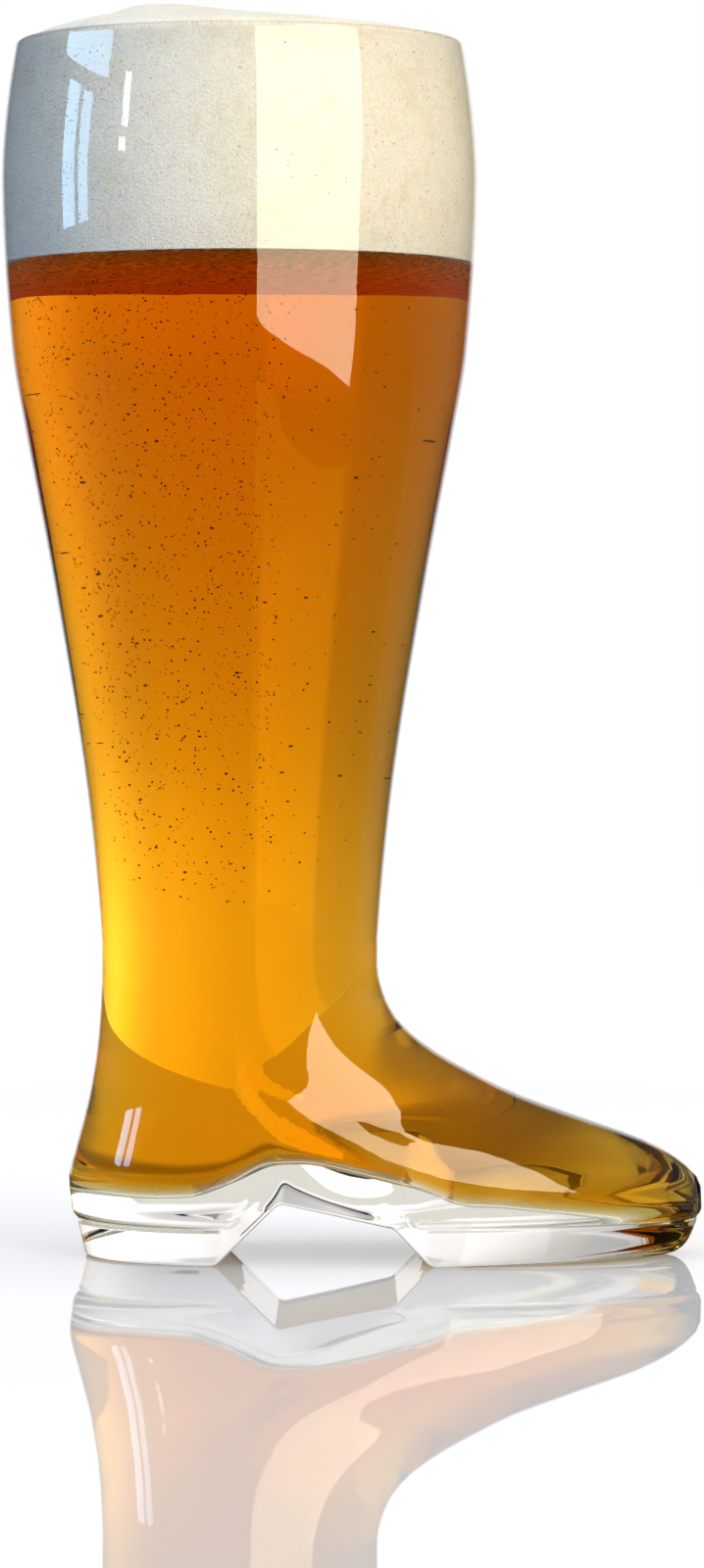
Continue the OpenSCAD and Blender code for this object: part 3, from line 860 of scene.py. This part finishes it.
def whiteRoom():
    world = bpy.data.worlds.new("whiteStudio")
    world.use_nodes = True
    world.node_tree.nodes.clear()
    tree = world.node_tree
    sight = addNode(tree, "ShaderNodeLightPath")
    look = addNode(tree, "ShaderNodeTexCoord")
    parts = addNode(tree, "ShaderNodeSeparateXYZ", None, {0: look.outputs["Generated"]})
    lookX, lookY, lookZ = parts.outputs["X"], parts.outputs["Y"], parts.outputs["Z"]

    # what is seen through the glass: dimmer to the left and above, brighter to the right
    leftDim = addNode(tree, "ShaderNodeMapRange", {
        "interpolation_type": "SMOOTHSTEP", "From Min": room["leftFrom"], "From Max": 0.0,
        "To Min": room["left"], "To Max": 1.0}, {0: lookX})
    rightGlow = addNode(tree, "ShaderNodeMapRange", {
        "interpolation_type": "SMOOTHSTEP", "From Min": room["rightFrom"], "From Max": room["rightTo"],
        "To Min": 1.0, "To Max": room["right"]}, {0: lookX})
    topDim = addNode(tree, "ShaderNodeMapRange", {
        "interpolation_type": "SMOOTHSTEP", "From Min": 0.0, "From Max": room["topFrom"],
        "To Min": room["horizon"], "To Max": room["top"]}, {0: lookZ})
    sideways = addNode(tree, "ShaderNodeMath", {"operation": "MULTIPLY"},
                       {0: leftDim.outputs[0], 1: rightGlow.outputs[0]})
    plain = addNode(tree, "ShaderNodeMath", {"operation": "MULTIPLY"},
                    {0: sideways.outputs[0], 1: topDim.outputs[0]})

    # the panel, and a low glow to the right of the boot that the beer shows on its left
    leftEdge = addNode(tree, "ShaderNodeMapRange", {
        "From Min": panel["left"], "From Max": panel["left"] + panel["edge"]}, {0: lookX})
    rightEdge = addNode(tree, "ShaderNodeMapRange", {
        "From Min": panel["right"], "From Max": panel["right"] - panel["edge"]}, {0: lookX})
    slanted = addNode(tree, "ShaderNodeMath", {"operation": "MULTIPLY_ADD", 1: panel["slant"]},
                      {0: lookX, 2: lookZ})
    topEdge = addNode(tree, "ShaderNodeMapRange", {
        "From Min": panel["top"], "From Max": panel["top"] - panel["fade"]}, {0: slanted.outputs[0]})
    wide = addNode(tree, "ShaderNodeMath", {"operation": "MULTIPLY"},
                   {0: leftEdge.outputs[0], 1: rightEdge.outputs[0]})
    shape = addNode(tree, "ShaderNodeMath", {"operation": "MULTIPLY"},
                    {0: wide.outputs[0], 1: topEdge.outputs[0]})
    lowGlow = addNode(tree, "ShaderNodeMapRange", {
        "From Min": room["lowFrom"], "From Max": room["lowTo"], "To Min": 1.0, "To Max": room["lowGlow"]},
        {0: lookZ})
    lowSide = addNode(tree, "ShaderNodeMapRange", {"From Min": 0.0, "From Max": room["lowRight"]}, {0: lookX})
    low = addNode(tree, "ShaderNodeMix", {"data_type": "FLOAT", 2: 1.0},
                  {0: lowSide.outputs[0], 3: lowGlow.outputs[0]})
    extra = addNode(tree, "ShaderNodeMath", {"operation": "MULTIPLY_ADD", 1: panel["glow"]},
                    {0: shape.outputs[0], 2: low.outputs[0]})
    outside = addNode(tree, "ShaderNodeMath", {"operation": "MULTIPLY"},
                      {0: plain.outputs[0], 1: extra.outputs[0]})

    # darker in the boot's mirror image in the table and in reflections inside the glass
    later = addNode(tree, "ShaderNodeMapRange", {"To Min": 1.0, "To Max": room["laterShade"]},
                    {0: sight.outputs["Glossy Depth"]})
    through = addNode(tree, "ShaderNodeMath", {"operation": "MULTIPLY"},
                      {0: outside.outputs[0], 1: later.outputs[0]})
    level = addNode(tree, "ShaderNodeMix", {"data_type": "FLOAT", 2: room["light"]},
                    {0: seenThrough(tree, sight), 3: through.outputs[0]})

    # the table mirrors plain white, and the glass mirrors a dark room in front of it
    front = addNode(tree, "ShaderNodeMapRange", {
        "interpolation_type": "SMOOTHSTEP", "From Min": room["frontEnd"], "From Max": room["backStart"],
        "To Min": room["mirroredFront"], "To Max": room["mirroredBack"]}, {0: lookY})
    mirror = addNode(tree, "ShaderNodeMix", {"data_type": "FLOAT", 2: room["mirroredBack"]},
                     {0: sight.outputs["Is Singular Ray"], 3: front.outputs[0]})
    bounced = addNode(tree, "ShaderNodeMix", {"data_type": "FLOAT"},
                      {0: justMirrored(tree, sight), 2: level.outputs[0], 3: mirror.outputs[0]})
    strength = addNode(tree, "ShaderNodeMix", {"data_type": "FLOAT", 3: 1.0},
                       {0: sight.outputs["Is Camera Ray"], 2: bounced.outputs[0]})
    sky = addNode(tree, "ShaderNodeBackground", {"Color": linear("#FFFFFF")}, {"Strength": strength.outputs[0]})
    addNode(tree, "ShaderNodeOutputWorld", None, {"Surface": sky.outputs[0]})
    return world


bpy.context.scene.world = whiteRoom()

lens = {"place": (0, -1.7368, 0.1576), "tilt": 0.97, "length": 146.25, "sensor": 36}
camera = bpy.data.objects.new("camera", bpy.data.cameras.new("camera"))
camera.location = lens["place"]
camera.rotation_euler = (math.radians(90 - lens["tilt"]), 0, 0)
camera.data.lens = lens["length"]
camera.data.sensor_width = lens["sensor"]
bpy.context.scene.collection.objects.link(camera)
bpy.context.scene.camera = camera
bpy.context.scene.view_settings.view_transform = "Standard"
print("boot: studio")
